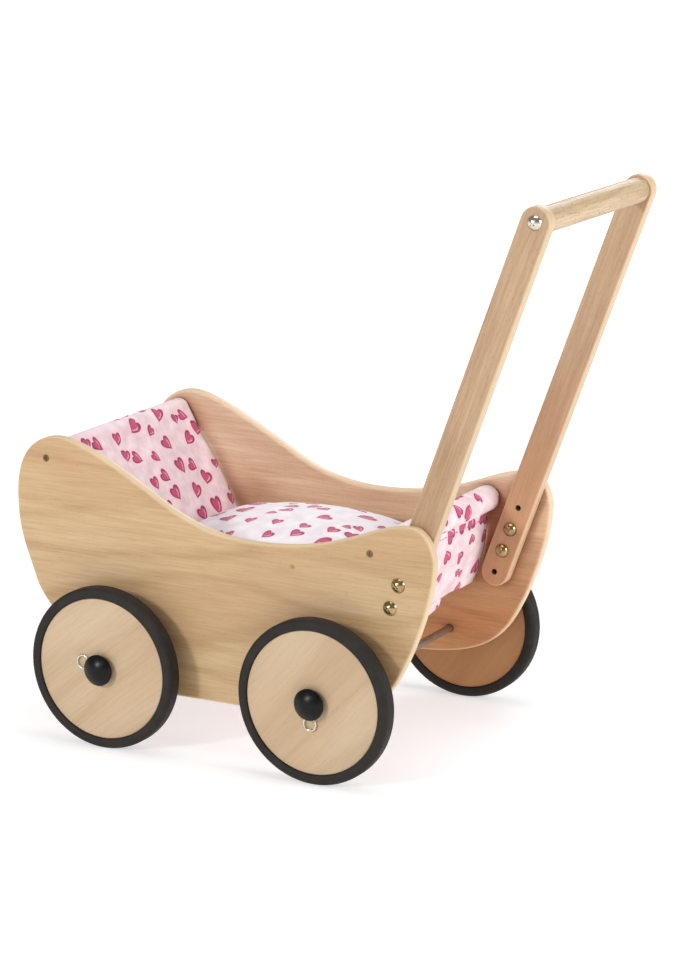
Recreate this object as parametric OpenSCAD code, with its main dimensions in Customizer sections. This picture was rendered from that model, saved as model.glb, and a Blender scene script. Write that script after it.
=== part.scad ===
/* [Running gear] */
// Distance between the two axles
wheelbase = 250; // [230:1:280]
// Outer diameter of the tyre
tyre_d = 172; // [164:1:180]
// Diameter of the wooden wheel disc
disc_d = 150; // [140:1:154]
// Thickness of the wooden wheel disc
disc_t = 16; // [12:1:18]
// Width of the tyre across its tread
tyre_w = 20; // [18:1:22]
// Diameter of the steel axles
axle_d = 8; // [6:1:10]
// Length of the sleeve that keeps a wheel off its panel
spacer_len = 20.5; // [12:0.5:26]
// Diameter of the domed axle caps
cap_d = 33; // [26:1:36]
// Gap between a wheel disc and its cap, where the clip sits
clip_gap = 4.4; // [3.6:0.2:6]

/* [Body] */
// Clear width between the two side panels
body_gap = 258; // [240:1:280]
// Thickness of the side panels
panel_t = 12; // [9:0.5:15]
// Diameter of the wooden cross rods
rod_d = 22; // [18:1:24]

/* [Handle] */
// Width of a handle arm
arm_w = 31.5; // [28:0.5:36]
// Thickness of a handle arm
arm_t = 14.5; // [12:0.5:18]
// Length of a handle arm between the centres of its round ends
arm_len = 448; // [380:1:480]
// Lean of the handle back from upright, in degrees
arm_lean = 20.5; // [16:0.5:24]
// Diameter of the grip
grip_d = 26; // [22:1:30]
// Distance between neighbouring holes for setting the handle's height
hole_pitch = 26; // [22:0.5:27]
// Diameter of the handle bolts
bolt_d = 6; // [5:0.5:6]

/* [Textiles] */
// Thickness of the cloth sling where it is hemmed
cloth_t = 2.5; // [2:0.1:3]
// Gap between the sling's edges and the panels
cloth_gap = 4; // [3:0.5:8]
// Thickness of the board that stiffens the sling's floor
board_t = 6; // [4:0.5:8]
// Thickness of the mattress pad
mattress_h = 20; // [14:1:24]
// Height of the duvet at its crown
duvet_h = 50; // [40:1:56]

/* [Hidden] */
$fn = 96;

// small clearances and hardware
slip = 0.05;             // radial play of a wheel on its axle
axle_play = 0.5;         // radial play of an axle in its panel hole
sleeve_gap = 0.15;       // end play of a sleeve between panel and wheel
bolt_play = 0.2;         // radial play of a bolt in its hole
screw_d = 4;
screw_len = 42;
screw_head_d = 8;
bolt_head_d = 15.5;
bolt_head_h = 5;
grip_screw_len = 45;
screw_tip_gap = 2;       // empty bore beyond a screw's or bolt's tip
nut_h = 6.5;
nut_top = 2;             // metal left over a cap nut's bore
recess_w = 1.2;          // width of a slot in a cross recess
recess_len = 6;
cap_h = 10;
axle_short = 3;          // how far an axle stops short of the top of its cap
sleeve_wall = 3;
clip_wire = 1.8;
clip_ring_d = 15.5;
clip_pin_d = 1.6;
over = 1;                // how far a cutting shape runs past the face it cuts
touch = 0.5;             // how far the parts of one solid reach into each other

// places that follow from the driving sizes; z counts up from the ground
axle_z = tyre_d / 2;
arm_dir = [sin(arm_lean), 0, cos(arm_lean)];
body_at = [5, 2.6];      // the body's own datum, from the middle of the axles
nose = 255;              // reach of the panel ahead of the datum
arm_foot = [180, 71.6];  // centre of a handle arm's lower end
grip_at = [arm_foot[0] + arm_len * arm_dir[0], arm_foot[1] + arm_len * arm_dir[2]];
mid_x = (nose - grip_at[0] - arm_w / 2) / 2 - body_at[0];
panel_in = body_gap / 2;
panel_out = panel_in + panel_t;
disc_in = panel_out + spacer_len;
disc_out = disc_in + disc_t;
cap_in = disc_out + clip_gap;
arm_in = panel_in - arm_t;
head_rod_at = [-217, 205];
foot_rod_at = [166.5, 149.3];
bolt_holes = [1, 2];     // the holes that carry bolts, of the four in a row
all_holes = [0, 1, 2, 3];
floor_z = 52;            // underside of the sling's floor
bed_z = floor_z + cloth_t + board_t;
loop_r = rod_d / 2 + 0.5;
head_slope = 31.6;       // slope of the head cloth from upright, in degrees
foot_slope = 12.4;       // slope of the foot cloth from upright, in degrees
head_foot = [-113, floor_z + 4];
foot_foot = [149, floor_z + 3];
duvet_box = [[-124, -117], [146, 117]];

// moves a shape from the middle of the axles to its place over the ground
module from_axles() { translate([mid_x, 0, axle_z]) children(); }
// moves a shape from the body's datum to its place
module from_datum() { from_axles() translate([body_at[0], 0, body_at[1]]) children(); }
// a cylinder along Y between two stations
module bar(d, y0, y1) { translate([0, y0, 0]) rotate([-90, 0, 0]) cylinder(d = d, h = y1 - y0); }
// mirrors a shape made for the +Y side to the side asked for
module on_side(side) { if (side > 0) children(); else mirror([0, 1, 0]) children(); }
module at_xz(p) { translate([p[0], 0, p[1]]) children(); }
function hole_at(k) = [arm_foot[0] + k * hole_pitch * arm_dir[0], arm_foot[1] + k * hole_pitch * arm_dir[2]];
function axle_x(end) = end == "front" ? -wheelbase / 2 : wheelbase / 2;
// the way each clip's loop points, in degrees from straight up
function clip_turn(end, side) = end == "front" ? (side < 0 ? -75 : 75) : (side < 0 ? 183 : 140);

// ---------- side panels ----------
// The outline is a closed curve through a few knots: x, z, heading in degrees, and the
// pull of the curve before and after the knot.
panel_knots = [
    [-203, 229, 0, 24, 29], [-102, 188, -28, 21, 35], [34, 144, 0, 70, 102], [212, 181, 0, 48, 17],
    [238, 147, -90, 11, 36], [196, 19, -121, 39, 42], [64, -32, -180, 77, 40], [-100, -32, -180, 40, 30],
    [-234, 73, 109, 40, 37], [-nose, 163, 90, 44, 50]];
panel_steps = 12;
function heading(a) = [cos(a), sin(a)];
function bezier(a, b, c, d, t) =
    pow(1 - t, 3) * a + 3 * t * pow(1 - t, 2) * b + 3 * t * t * (1 - t) * c + pow(t, 3) * d;
function span_point(k, m, t) =
    let (a = [k[0], k[1]], d = [m[0], m[1]])
    bezier(a, a + k[4] * heading(k[2]), d - m[3] * heading(m[2]), d, t);
function closed_curve(knots) = [
    for (i = [0 : len(knots) - 1])
        for (s = [0 : panel_steps - 1])
            span_point(knots[i], knots[(i + 1) % len(knots)], s / panel_steps)];

module side_panel(side) {
    color("burlywood") from_datum() on_side(side) difference() {
        translate([0, panel_out, 0]) rotate([90, 0, 0]) linear_extrude(panel_t) polygon(closed_curve(panel_knots));
        for (end = ["front", "rear"]) at_xz([axle_x(end), 0] - body_at)
            bar(axle_d + 2 * axle_play, panel_in - over, panel_out + over);
        for (k = bolt_holes) at_xz(hole_at(k)) bar(bolt_d + 2 * bolt_play, panel_in - over, panel_out + over);
        for (rod = [head_rod_at, foot_rod_at]) at_xz(rod) {
            bar(screw_d, panel_in - over, panel_out + over);
            countersink();
        }
    }
}
// the flared part of a screw head, sunk flush with the outside of a panel
module countersink() {
    flare = (screw_head_d - screw_d) / 2;
    translate([0, panel_out - flare, 0]) rotate([-90, 0, 0]) cylinder(d1 = screw_d, d2 = screw_head_d, h = flare);
}

// ---------- cross rods and floor ----------
module cross_rod(at) {
    color("wheat") from_datum() at_xz(at) difference() {
        bar(rod_d, -panel_in, panel_in);
        for (side = [-1, 1]) on_side(side) bar(screw_d, panel_out - screw_len, panel_in + over);
    }
}
module rod_screws() {
    color("dimgray") from_datum() for (at = [head_rod_at, foot_rod_at], side = [-1, 1])
        at_xz(at) on_side(side) difference() {
            union() {
                bar(screw_d, panel_out - screw_len, panel_out - touch);
                countersink();
            }
            cross_recess(panel_out, screw_head_d * 0.62, 0);
        }
}
module base_board() {
    end_gap = 7.5;
    side_gap = 3;
    color("tan") from_datum()
        translate([head_foot[0] + end_gap, side_gap - sling_half, floor_z + cloth_t])
            cube([foot_foot[0] - head_foot[0] - 2 * end_gap, 2 * (sling_half - side_gap), board_t]);
}

// ---------- textiles ----------
// One strip hung from both rods: a sleeve round each rod, a slope down to a flat floor.
sling_half = panel_in - cloth_gap;
function head_point(z, off) = [head_foot[0] - (z - head_foot[1]) * tan(head_slope) - off, z];
function foot_point(z, off) = [foot_foot[0] + (z - foot_foot[1]) * tan(foot_slope) + off, z];
module sling_profile() {
    skew = cloth_t / cos(head_slope);
    head_top = head_rod_at[1];
    foot_top = foot_rod_at[1] - loop_r + over;
    polygon([
        head_point(head_top, 0), head_point(floor_z + cloth_t, 0),
        foot_point(floor_z + cloth_t, -cloth_t), foot_point(foot_top, -cloth_t),
        foot_point(foot_top, 0), foot_point(floor_z, 0),
        head_point(floor_z, skew), head_point(head_top, skew)]);
    for (rod = [head_rod_at, foot_rod_at]) translate(rod) circle(loop_r + cloth_t);
}
module fabric_sling() {
    color("pink") from_datum() difference() {
        translate([0, sling_half, 0]) rotate([90, 0, 0]) linear_extrude(2 * sling_half) sling_profile();
        for (rod = [head_rod_at, foot_rod_at]) at_xz(rod) bar(2 * loop_r, -panel_in, panel_in);
    }
}
module mattress() {
    gap = 4;
    inset = 12;
    length = foot_foot[0] - head_foot[0] - 2 * gap - cloth_t;
    r = 30;
    color("white") from_datum() translate([head_foot[0] + gap, 0, bed_z]) union() {
        translate([r, -sling_half + inset / 2, 0]) cube([length - 2 * r, 2 * sling_half - inset, mattress_h]);
        translate([0, -sling_half + inset / 2 + r, 0]) cube([length, 2 * sling_half - inset - 2 * r, mattress_h]);
        for (x = [r, length - r], side = [-1, 1])
            translate([x, side * (sling_half - inset / 2 - r), 0]) cylinder(r = r, h = mattress_h);
    }
}
// A pillow form: four squashed balls at the corners and a taller one at the crown, wrapped.
module duvet() {
    corner_r = 34;
    edge_h = 30;
    crown_r = 60;
    crown_spread = [1.7, 1.5];   // how far the crown's ball is drawn out along and across
    rest_gap = 0.4;              // air between the duvet and the mattress
    size = duvet_box[1] - duvet_box[0];
    low = bed_z + mattress_h + rest_gap;
    color("lavenderblush") from_datum() translate([0, 0, low]) intersection() {
        hull() {
            for (x = [duvet_box[0][0] + corner_r, duvet_box[1][0] - corner_r],
                 y = [duvet_box[0][1] + corner_r, duvet_box[1][1] - corner_r])
                translate([x, y, edge_h / 2]) scale([1, 1, edge_h / 2 / corner_r]) sphere(corner_r, $fn = 32);
            translate([(duvet_box[0][0] + duvet_box[1][0]) / 2, 0, 0])
                scale([crown_spread[0], crown_spread[1], duvet_h / crown_r]) sphere(crown_r, $fn = 48);
        }
        translate([duvet_box[0][0], duvet_box[0][1], 0]) cube([size[0], size[1], duvet_h]);
    }
}

// ---------- running gear ----------
module axle(end) {
    color("gray") from_axles() at_xz([axle_x(end), 0]) difference() {
        bar(axle_d, axle_short - cap_in - cap_h, cap_in + cap_h - axle_short);
        for (side = [-1, 1]) translate([0, side * (disc_out + clip_gap / 2), 0])
            rotate([0, clip_turn(end, side), 0]) cylinder(d = clip_pin_d + 0.2, h = 2 * axle_d, center = true);
    }
}
module axle_sleeves() {
    color("dimgray") from_axles() for (end = ["front", "rear"], side = [-1, 1])
        at_xz([axle_x(end), 0]) on_side(side) difference() {
            bar(axle_d + 2 * sleeve_wall, panel_out + sleeve_gap, disc_in - sleeve_gap);
            bar(axle_d + 2 * slip, panel_out - over, disc_in + over);
        }
}
module wheel_disc(end, side) {
    color("burlywood") from_axles() at_xz([axle_x(end), 0]) on_side(side) difference() {
        bar(disc_d, disc_in, disc_out);
        bar(axle_d + 2 * slip, disc_in - over, disc_out + over);
    }
}
// The tyre is a ring with a rounded tread, turned about the axle.
module tyre(end, side) {
    r = tyre_d / 2;
    edge = 5;
    mid = (disc_in + disc_out) / 2;
    color("darkslategray") from_axles() at_xz([axle_x(end), 0]) on_side(side)
        translate([0, mid, 0]) rotate([-90, 0, 0]) rotate_extrude($fn = 128) union() {
            translate([disc_d / 2, -tyre_w / 2]) square([r - edge - disc_d / 2, tyre_w]);
            translate([disc_d / 2, -tyre_w / 2 + edge]) square([r - disc_d / 2, tyre_w - 2 * edge]);
            for (s = [-1, 1]) translate([r - edge, s * (tyre_w / 2 - edge)]) circle(edge, $fn = 32);
        }
}
// A dome: a slice of a ball on a short rim, with a blind hole for the axle's end.
module axle_cap(end, side) {
    rim = 3;
    dome = cap_h - rim;
    ball = (pow(cap_d / 2, 2) + dome * dome) / (2 * dome);
    color("black") from_axles() at_xz([axle_x(end), 0]) on_side(side) translate([0, cap_in, 0])
        rotate([-90, 0, 0]) difference() {
            union() {
                cylinder(d = cap_d, h = rim);
                translate([0, 0, rim]) intersection() {
                    translate([0, 0, dome - ball]) sphere(ball);
                    cylinder(d = cap_d, h = dome);
                }
            }
            translate([0, 0, -over]) cylinder(d = axle_d, h = cap_h - axle_short + over);
        }
}
// A wire pin through the axle that ends in a round loop beyond the cap's rim.
module axle_clip(end, side) {
    loop = (clip_ring_d - clip_wire) / 2;
    tail = axle_d / 2 + 3;
    centre = cap_d / 2 + 5;
    color("silver") from_axles() at_xz([axle_x(end), 0]) rotate([0, clip_turn(end, side), 0]) on_side(side)
        translate([0, disc_out + clip_gap / 2, 0]) {
            translate([0, 0, -tail]) cylinder(d = clip_pin_d, h = tail + centre - loop);
            translate([0, 0, centre]) rotate([90, 0, 0])
                rotate_extrude($fn = 64) translate([loop, 0]) circle(d = clip_wire, $fn = 24);
        }
}

// ---------- handle ----------
module handle_arm(side) {
    color("burlywood") from_datum() on_side(side) difference() {
        at_xz(arm_foot) rotate([0, arm_lean, 0]) union() {
            bar(arm_w, arm_in, panel_in);
            translate([-arm_w / 2, arm_in, 0]) cube([arm_w, arm_t, arm_len]);
            translate([0, 0, arm_len]) bar(arm_w, arm_in, panel_in);
        }
        for (k = all_holes) at_xz(hole_at(k)) bar(bolt_d + 2 * bolt_play, arm_in - over, panel_in + over);
        at_xz(grip_at) bar(bolt_d + 2 * bolt_play, arm_in - over, panel_in + over);
    }
}
module grip_bar() {
    color("tan") from_datum() at_xz(grip_at) difference() {
        bar(grip_d, -arm_in, arm_in);
        for (side = [-1, 1]) on_side(side) bar(bolt_d, arm_in - grip_screw_len, arm_in + over);
    }
}
// A low dome standing on a face, as wide as d and as high as h, pointing along +Y.
module dome_head(d, h) {
    ball = (d * d / 4 + h * h) / (2 * h);
    rotate([-90, 0, 0]) intersection() {
        translate([0, 0, h - ball]) sphere(ball);
        cylinder(d = d, h = h);
    }
}
// two crossed slots, a quarter as deep as they are long
module cross_recess(y, len, turn) {
    for (more = [0, 90]) translate([0, y, 0]) rotate([0, turn + more, 0])
        cube([len, len / 2, recess_w], center = true);
}
module grip_screws() {
    color("silver") from_datum() for (side = [-1, 1]) at_xz(grip_at) on_side(side) difference() {
        union() {
            bar(bolt_d, arm_in - grip_screw_len + screw_tip_gap, panel_in + touch);
            translate([0, panel_in, 0]) dome_head(bolt_head_d, bolt_head_h);
        }
        cross_recess(panel_in + bolt_head_h, recess_len, 45);
    }
}
module handle_bolts() {
    color("darkgoldenrod") from_datum() for (k = bolt_holes, side = [-1, 1]) at_xz(hole_at(k)) on_side(side)
        difference() {
            union() {
                bar(bolt_d, arm_in - nut_h + nut_top + touch, panel_out + touch);
                translate([0, panel_out, 0]) dome_head(bolt_head_d, bolt_head_h);
            }
            cross_recess(panel_out + bolt_head_h, recess_len, 45);
        }
}
module handle_cap_nuts() {
    color("darkgoldenrod") from_datum() for (k = bolt_holes, side = [-1, 1]) at_xz(hole_at(k)) on_side(side)
        difference() {
            translate([0, arm_in, 0]) mirror([0, 1, 0]) dome_head(bolt_head_d, nut_h);
            bar(bolt_d, arm_in - nut_h + nut_top, arm_in + over);
        }
}

side_panel(-1);  // side_panel_left
side_panel(1);  // side_panel_right
cross_rod(head_rod_at);  // head_rod
cross_rod(foot_rod_at);  // foot_rod
rod_screws();
base_board();
fabric_sling();
mattress();
duvet();
axle("front");  // axle_front
axle("rear");  // axle_rear
axle_sleeves();
wheel_disc("front", -1);  // wheel_disc_front_left
wheel_disc("front", 1);  // wheel_disc_front_right
wheel_disc("rear", -1);  // wheel_disc_rear_left
wheel_disc("rear", 1);  // wheel_disc_rear_right
tyre("front", -1);  // tyre_front_left
tyre("front", 1);  // tyre_front_right
tyre("rear", -1);  // tyre_rear_left
tyre("rear", 1);  // tyre_rear_right
axle_cap("front", -1);  // axle_cap_front_left
axle_cap("front", 1);  // axle_cap_front_right
axle_cap("rear", -1);  // axle_cap_rear_left
axle_cap("rear", 1);  // axle_cap_rear_right
axle_clip("front", -1);  // axle_clip_front_left
axle_clip("front", 1);  // axle_clip_front_right
axle_clip("rear", -1);  // axle_clip_rear_left
axle_clip("rear", 1);  // axle_clip_rear_right
handle_arm(-1);  // handle_arm_left
handle_arm(1);  // handle_arm_right
grip_bar();
grip_screws();
handle_bolts();
handle_cap_nuts();
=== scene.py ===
import math

import bmesh
import bpy
from mathutils import Matrix, Vector, noise
from mathutils.geometry import tessellate_polygon


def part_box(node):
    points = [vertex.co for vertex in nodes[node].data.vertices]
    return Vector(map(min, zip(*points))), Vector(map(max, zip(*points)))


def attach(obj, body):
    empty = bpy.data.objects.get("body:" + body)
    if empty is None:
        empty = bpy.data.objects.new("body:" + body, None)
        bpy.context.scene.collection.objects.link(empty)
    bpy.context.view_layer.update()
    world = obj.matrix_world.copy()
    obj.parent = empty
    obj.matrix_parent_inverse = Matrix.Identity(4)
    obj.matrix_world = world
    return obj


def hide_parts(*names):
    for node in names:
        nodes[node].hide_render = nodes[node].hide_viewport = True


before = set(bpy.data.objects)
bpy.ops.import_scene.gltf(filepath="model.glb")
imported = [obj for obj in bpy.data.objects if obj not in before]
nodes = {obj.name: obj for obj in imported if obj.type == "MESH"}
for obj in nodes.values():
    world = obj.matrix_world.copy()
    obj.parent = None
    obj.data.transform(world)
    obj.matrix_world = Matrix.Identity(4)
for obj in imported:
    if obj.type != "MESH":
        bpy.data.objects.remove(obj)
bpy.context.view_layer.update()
ends = ["front", "rear"]
sides = ["left", "right"]
wheels = [end + "_" + side for end in ends for side in sides]
print("frame loaded,", len(nodes), "nodes")


def middle(node):
    low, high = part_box(node)
    return (low + high) / 2


def newPiece(name, bm, material, body, replaced=()):
    mesh = bpy.data.meshes.new(name)
    bm.to_mesh(mesh)
    bm.free()
    piece = bpy.data.objects.new(name, mesh)
    bpy.context.scene.collection.objects.link(piece)
    mesh.materials.append(material)
    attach(piece, body)
    if replaced:
        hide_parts(*replaced)
    return piece


def smoothShade(piece, angle=40):
    piece.data.shade_smooth()
    piece.data.set_sharp_from_angle(angle=math.radians(angle))


def applyModifiers(piece):
    graph = bpy.context.evaluated_depsgraph_get()
    mesh = bpy.data.meshes.new_from_object(piece.evaluated_get(graph))
    piece.modifiers.clear()
    piece.data = mesh


class TreeMaker:
    # adds wired nodes to a node tree; a value may be a constant or another node's output

    def __init__(self, tree):
        self.tree = tree

    def wire(self, node, socket, value):
        if isinstance(value, bpy.types.NodeSocket):
            self.tree.links.new(value, node.inputs[socket])
        else:
            node.inputs[socket].default_value = value

    def add(self, kind, inputs=None, **settings):
        made = self.tree.nodes.new("ShaderNode" + kind)
        for key, value in settings.items():
            setattr(made, key, value)
        for socket, value in (inputs or {}).items():
            self.wire(made, socket, value)
        return made

    def mix(self, factor, first, second, blend="MIX"):
        made = self.add("Mix", {0: factor, 6: first, 7: second}, data_type="RGBA", blend_type=blend)
        return made.outputs[2]

    def spread(self, value, low, high, toLow=0.0, toHigh=1.0, smooth=False):
        made = self.add("MapRange", {"Value": value, "From Min": low, "From Max": high,
                                     "To Min": toLow, "To Max": toHigh},
                        interpolation_type="SMOOTHSTEP" if smooth else "LINEAR")
        return made.outputs["Result"]

    def calc(self, operation, first, second=0.0, third=0.0, clamp=False):
        made = self.add("Math", {0: first, 1: second, 2: third}, operation=operation, use_clamp=clamp)
        return made.outputs[0]

    def vector(self, operation, first, second=(0, 0, 0)):
        made = self.add("VectorMath", {0: first, 1: second}, operation=operation)
        return made.outputs["Value" if operation in ("LENGTH", "DOT_PRODUCT") else 0]

    def scaled(self, vector, amount):
        return self.add("VectorMath", {0: vector, "Scale": amount}, operation="SCALE").outputs[0]

    def along(self, vector, axis):
        return self.add("SeparateXYZ", {"Vector": vector}).outputs[axis]


class GroupMaker(TreeMaker):
    # wires up a node group with named inputs and outputs

    def __init__(self, name, inputs, outputs):
        super().__init__(bpy.data.node_groups.new(name, "ShaderNodeTree"))
        for title, kind, value in inputs:
            socket = self.tree.interface.new_socket(title, in_out="INPUT", socket_type="NodeSocket" + kind)
            if value is not None:
                socket.default_value = value
        for title, kind in outputs:
            self.tree.interface.new_socket(title, in_out="OUTPUT", socket_type="NodeSocket" + kind)
        self.entry = self.tree.nodes.new("NodeGroupInput")
        self.exit = self.tree.nodes.new("NodeGroupOutput")

    def given(self, title):
        return self.entry.outputs[title]

    def give(self, title, value):
        self.tree.links.new(value, self.exit.inputs[title])

    def noise(self, vector, scale, detail=2.0, roughness=0.5, distortion=0.0):
        made = self.add("TexNoise", {"Vector": vector, "Scale": scale, "Detail": detail,
                                     "Roughness": roughness, "Distortion": distortion})
        return made.outputs["Fac"]


class Finish(TreeMaker):
    # a material under construction, with its Principled shader at hand

    def __init__(self, name, sockets):
        self.material = bpy.data.materials.new(name)
        self.material.use_nodes = True
        super().__init__(self.material.node_tree)
        self.shader = self.tree.nodes["Principled BSDF"]
        for title, value in sockets.items():
            self.shader.inputs[title].default_value = value

    def group(self, tree, inputs):
        return self.add("Group", inputs, node_tree=tree).outputs

    def set(self, title, value):
        self.tree.links.new(value, self.shader.inputs[title])

    def bump(self, height, strength, distance):
        made = self.add("Bump", {"Height": height, "Strength": strength, "Distance": distance})
        self.set("Normal", made.outputs["Normal"])

    def place(self, turn=(0, 0, 0), offset=(0, 0, 0)):
        where = self.add("TexCoord").outputs["Object"]
        return self.add("Mapping", {"Vector": where, "Rotation": turn, "Location": offset}).outputs[0]


cameraSetup = {"place": (1.5637, -2.8418, 1.0494), "azimuth": 28.731, "elevation": 13.51, "roll": -0.163,
               "lens": 119.7}
studio = {"floorSize": 60, "floorColor": (0.62, 0.62, 0.62, 1), "glow": (0.54, 0.88), "glowReach": (0.7, 2.6),
          "sky": (1.0, 0.3), "skyFade": (0.04, 0.2), "aim": (0, 0, 0.25),
          "key": {"place": (-1.15, -3.5, 1.7), "size": 0.6, "power": 62},
          "fill": {"place": (0.2, -3.6, 2.2), "size": 0.6, "power": 8},
          "side": {"place": (3.0, 0.1, 1.3), "size": 1.2, "power": 42},
          "back": {"place": (-0.6, 3.6, 2.0), "size": 1.4, "power": 34},
          "top": {"place": (0.3, 0.1, 3.0), "size": 1.6, "power": 26}}


def addCamera(setup):
    data = bpy.data.cameras.new("camera")
    data.lens = setup["lens"]
    data.clip_end = 200
    camera = bpy.data.objects.new("camera", data)
    turn = Matrix.Rotation(math.radians(setup["azimuth"]), 4, "Z")
    tilt = Matrix.Rotation(math.radians(90 - setup["elevation"]), 4, "X")
    roll = Matrix.Rotation(math.radians(setup["roll"]), 4, "Z")
    camera.matrix_world = Matrix.Translation(setup["place"]) @ turn @ tilt @ roll
    bpy.context.scene.collection.objects.link(camera)
    bpy.context.scene.camera = camera


def addLight(name, setup):
    data = bpy.data.lights.new(name, "AREA")
    data.size = setup["size"]
    data.energy = setup["power"]
    light = bpy.data.objects.new(name, data)
    light.location = setup["place"]
    aim = Vector(studio["aim"]) - light.location
    light.rotation_euler = aim.to_track_quat("-Z", "Y").to_euler()
    bpy.context.scene.collection.objects.link(light)


def addStudio():
    bm = bmesh.new()
    bmesh.ops.create_grid(bm, x_segments=1, y_segments=1, size=studio["floorSize"] / 2)
    mesh = bpy.data.meshes.new("floor")
    bm.to_mesh(mesh)
    bm.free()
    floor = bpy.data.objects.new("floor", mesh)
    bpy.context.scene.collection.objects.link(floor)
    f = Finish("studioFloor", {"Base Color": studio["floorColor"], "Roughness": 0.9,
                               "Specular IOR Level": 0.1, "Emission Color": (1, 1, 1, 1)})
    away = f.vector("LENGTH", f.add("TexCoord").outputs["Object"])
    f.set("Emission Strength", f.spread(away, *studio["glowReach"], *studio["glow"]))
    mesh.materials.append(f.material)
    world = bpy.data.worlds.new("studioSky")
    world.use_nodes = True
    background = world.node_tree.nodes["Background"]
    sky = TreeMaker(world.node_tree)
    height = sky.along(sky.add("TexCoord").outputs["Generated"], "Z")
    sky.wire(background, "Color", (1, 1, 1, 1))
    sky.wire(background, "Strength", sky.spread(height, *studio["skyFade"], *studio["sky"]))
    bpy.context.scene.world = world
    for name in ["key", "fill", "side", "back", "top"]:
        addLight(name, studio[name])
    bpy.context.scene.view_settings.view_transform = "Standard"


addCamera(cameraSetup)
addStudio()
print("camera and studio ready")


def makeWoodGrain():
    # grain runs along the first axis of the vector it is given
    g = GroupMaker("woodGrain",
                   [("Vector", "Vector", None), ("Light Color", "Color", (0.6, 0.4, 0.24, 1)),
                    ("Dark Color", "Color", (0.45, 0.28, 0.16, 1)),
                    ("Blush Color", "Color", (0.6, 0.38, 0.25, 1)), ("Ring Count", "Float", 26.0),
                    ("Figure", "Float", 0.5), ("Fibre", "Float", 0.5), ("Fleck", "Float", 0.3)],
                   [("Color", "Color"), ("Height", "Float"), ("Roughness", "Float")])
    place = g.given("Vector")
    field = g.vector("MULTIPLY", place, (1.6, 9.0, 9.0))
    rings = g.noise(field, 1.0, 2.0, 0.45, 0.25)
    wave = g.calc("SINE", g.calc("MULTIPLY", rings, g.calc("MULTIPLY", g.given("Ring Count"), 6.2832)))
    wave = g.spread(wave, -1.0, 1.0, 0.0, 1.0)
    wave = g.calc("POWER", wave, 2.2)
    fibre = g.noise(g.vector("MULTIPLY", place, (26.0, 640.0, 640.0)), 1.0, 3.0, 0.65)
    streak = g.noise(g.vector("MULTIPLY", place, (9.0, 190.0, 190.0)), 1.0, 3.0, 0.6, 0.3)
    broad = g.noise(g.vector("MULTIPLY", place, (4.0, 11.0, 11.0)), 1.0, 1.0, 0.5)
    fleckField = g.noise(g.vector("MULTIPLY", place, (170.0, 900.0, 900.0)), 1.0, 1.0, 0.5)
    fleck = g.calc("MULTIPLY", g.spread(fleckField, 0.62, 0.74, smooth=True), g.given("Fleck"))
    shade = g.calc("MULTIPLY", wave, g.given("Figure"))
    for lines, low, high, share in ((fibre, 0.38, 0.62, 0.5), (streak, 0.36, 0.64, 0.35)):
        amount = g.calc("MULTIPLY", g.given("Fibre"), share)
        shade = g.calc("MULTIPLY_ADD", g.spread(lines, low, high), amount, shade)
    shade = g.calc("ADD", shade, fleck, clamp=True)
    tone = g.mix(g.spread(broad, 0.35, 0.68, smooth=True), g.given("Light Color"), g.given("Blush Color"))
    g.give("Color", g.mix(shade, tone, g.given("Dark Color")))
    g.give("Height", g.calc("MULTIPLY_ADD", fibre, -0.6, g.calc("MULTIPLY", shade, -0.5)))
    g.give("Roughness", g.spread(g.calc("ADD", fibre, fleck), 0.2, 1.0, 0.4, 0.56))
    return g.tree


def makeHeartShape():
    # one heart, point down, about two units wide; Edge softens its outline
    g = GroupMaker("heartShape",
                   [("Vector", "Vector", None), ("Scale", "Float", 1.0), ("Edge", "Float", 0.12)],
                   [("Mask", "Float")])
    x = g.calc("ABSOLUTE", g.calc("DIVIDE", g.along(g.given("Vector"), "X"), g.given("Scale")))
    y = g.calc("ADD", g.calc("DIVIDE", g.along(g.given("Vector"), "Y"), g.given("Scale")), 0.2)
    bend = g.calc("MULTIPLY", g.calc("SQRT", x), -0.85)
    rise = g.calc("MULTIPLY_ADD", y, 1.15, bend)
    away = g.calc("SQRT", g.calc("ADD", g.calc("MULTIPLY", x, x), g.calc("MULTIPLY", rise, rise)))
    near = g.calc("SUBTRACT", 1.0, g.given("Edge"))
    far = g.calc("ADD", 1.0, g.given("Edge"))
    g.give("Mask", g.spread(away, near, far, 1.0, 0.0, smooth=True))
    return g.tree


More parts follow.
